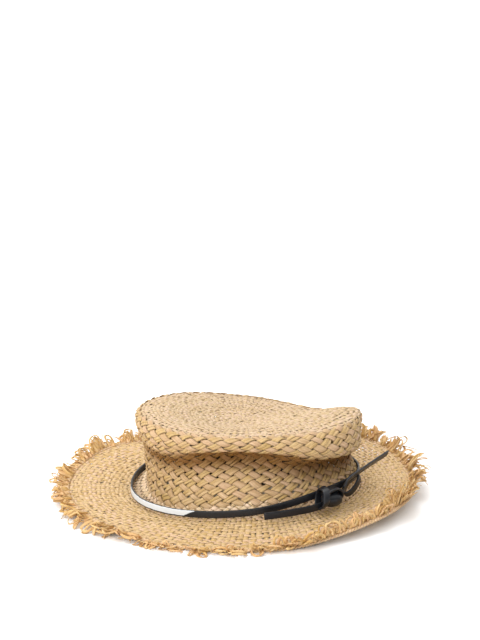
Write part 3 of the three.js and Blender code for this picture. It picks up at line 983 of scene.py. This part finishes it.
band_angles = np.linspace(KNOT_ANGLE + KNOT_HALF_ANGLE, KNOT_ANGLE - KNOT_HALF_ANGLE + 2 * math.pi, 90)
band_line, _ = band_point(band_angles)
band = lace("hat_band", band_line, [(0, 0, 1)] * 2, 240, WHITE_STRETCH_LEATHER)
corner = np.empty(3 * len(band.data.vertices))
band.data.vertices.foreach_get("co", corner)
corner = corner.reshape(-1, 3) / MM
around_hat = np.arctan2(corner[:, 1] / HEAD[2], (corner[:, 0] - HEAD[0]) / HEAD[1])
line_here, out_here = band_point(around_hat)
outward_side = np.sum((corner - line_here) * out_here, -1)
up_side = corner[:, 2] - line_here[:, 2]
# This attribute is above 0 inside the pale bluish-white stretch. It falls off towards the stretch's slanted
# right end, its left end, the lace's inner face, and its upper and lower edges, and the back half of the
# hat has none.
WHITE_END = -44  # along X
WHITE_START = math.radians(-172)
WHITE_ABOVE = 3.15  # how far it reaches above the lace's middle, and below it
WHITE_BELOW = 2.3
NO_WHITE = -20
white_stretch = WHITE_END + 2.0 * up_side - corner[:, 0]
white_stretch = np.minimum(white_stretch, np.where(WHITE_START < around_hat, -NO_WHITE, NO_WHITE))
white_stretch = np.minimum(white_stretch, outward_side * 12 - 2)
white_stretch = np.minimum(white_stretch, np.where(up_side > 0, WHITE_ABOVE - up_side, WHITE_BELOW + up_side) * 8 - 2)
white_stretch = np.where(corner[:, 1] < 0, white_stretch, NO_WHITE)
band.data.attributes.new("white_stretch", "FLOAT", "POINT").data.foreach_set("value", white_stretch)
on_hat(band, "lace_leather", "hat_band")

# Knot: the lace's turns, one pulled round the band at the left, one over the top and down at the right, the
# fat fold between them, and a core that fills the middle. Its points are (out from the crown, along the
# band, up).
knot_point, knot_out = band_point(np.array([KNOT_ANGLE]))
knot_out = knot_out[0]
knot_centre = knot_point[0] + knot_out * 8 - np.array([0, 0, 1.5])
knot_along = np.array([-knot_out[1], knot_out[0], 0])
knot_up = np.array([0, 0, 1.0])


def knot_at(out, along, up):
    return knot_centre + knot_out * out + knot_along * along + knot_up * up


LEFT_TURN = ((5, -10, -6), (8, -9, 0), (4.5, -7, 7), (-3, -6, 8), (-7, -6, 1), (-3, -9, -8))
TOP_TURN = ((3, -8, 3), (4.5, -4, 7.2), (4, 3, 7.6), (3, 9, 4.5), (1, 11, -1), (-3, 9, -5))
left_turn = [knot_at(*place) for place in LEFT_TURN]
left_width = [knot_along + knot_up * 0.2] * 6
left_lace = lace("knot_left_turn", left_turn, left_width, 60, LEATHER, closed=True, width=6)
on_hat(left_lace, "lace_leather", "band_knot")
top_turn = [knot_at(*place) for place in TOP_TURN]
top_lace = lace("knot_top_turn", top_turn, [knot_out] * 6, 60, LEATHER)
on_hat(top_lace, "lace_leather", "band_knot")


def knot_lump(name, rings, sides, seed, bluntness, middle, half, tilt=0.0):
    """A rounded length that lies along the knot. middle and half are (out, along, up)."""

    def place(number, along, across, lift, rng):
        polar = math.pi * along
        girth = np.sin(polar) ** bluntness
        out = middle[0] + half[0] * girth * lift
        sideways = middle[1] - half[1] * np.cos(polar)
        up = middle[2] + half[2] * girth * across + tilt * np.cos(polar)
        point = knot_centre + out[..., None] * knot_out + sideways[..., None] * knot_along
        return point + up[..., None] * knot_up, along * 18, across * 6

    on_hat(lay_straws(name, 1, rings, sides, place, LEATHER, seed), "lace_leather", "band_knot")


knot_lump("knot_fold", 24, 28, 320, 0.8, (1.5, 1.5, -2.6), (6.8, 9.5, 6.6), tilt=0.8)
knot_lump("knot_core", 16, 20, 321, 0.5, (-1.5, 2.0, 1.0), (4.5, 7.5, 6.0))

# Bow loop: the lace folded into a flat loop that stands up beside the knot.
loop_long = np.array([0.523, 0.577, 0.633])
loop_long /= np.linalg.norm(loop_long)
loop_width = np.array([-0.309, -0.496, 0.811])
loop_width -= loop_long * loop_width.dot(loop_long)
loop_width /= np.linalg.norm(loop_width)
loop_short = np.cross(loop_width, loop_long)
loop_middle = np.array([94.6, -50, 28.2])
LOOP_LONG = 10.5  # half lengths of the oval that its middle follows
LOOP_SHORT = 4.6
loop_path = [
    loop_middle + loop_long * math.cos(turn) * LOOP_LONG + loop_short * math.sin(turn) * LOOP_SHORT
    for turn in np.linspace(0, 2 * math.pi, 17)[:-1]
]
on_hat(lace("bow_loop", loop_path, [loop_width] * 16, 80, LEATHER, closed=True), "lace_leather", "bow_loop")

# Tails: the lace's two cut ends. One lies back along the front of the hat on its edge, and the other runs
# up to the right past the loop. Each can be swung at the knot.
left_path = [(70, -75.5, 20), (60, -81, 18.8), (47, -86.5, 18.3), (34, -90.5, 17.7), (20, -93.5, 17)]
right_path = [(87, -68, 32.5), (91, -62, 37.4), (103, -44.5, 38.7), (115, -27, 39.8), (127.5, -9, 40.7)]
tail_left = lace("tail_left", left_path, [(0, 0, 1), (0, 0.1, 1)], 40, LEATHER)
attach(tail_left, "tail_left")
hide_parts("tail_left")
tail_right = lace("tail_right", right_path, [(0.4, -0.38, 0.8), (0.12, -0.45, 0.8)], 40, LEATHER)
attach(tail_right, "tail_right")
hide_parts("tail_right")
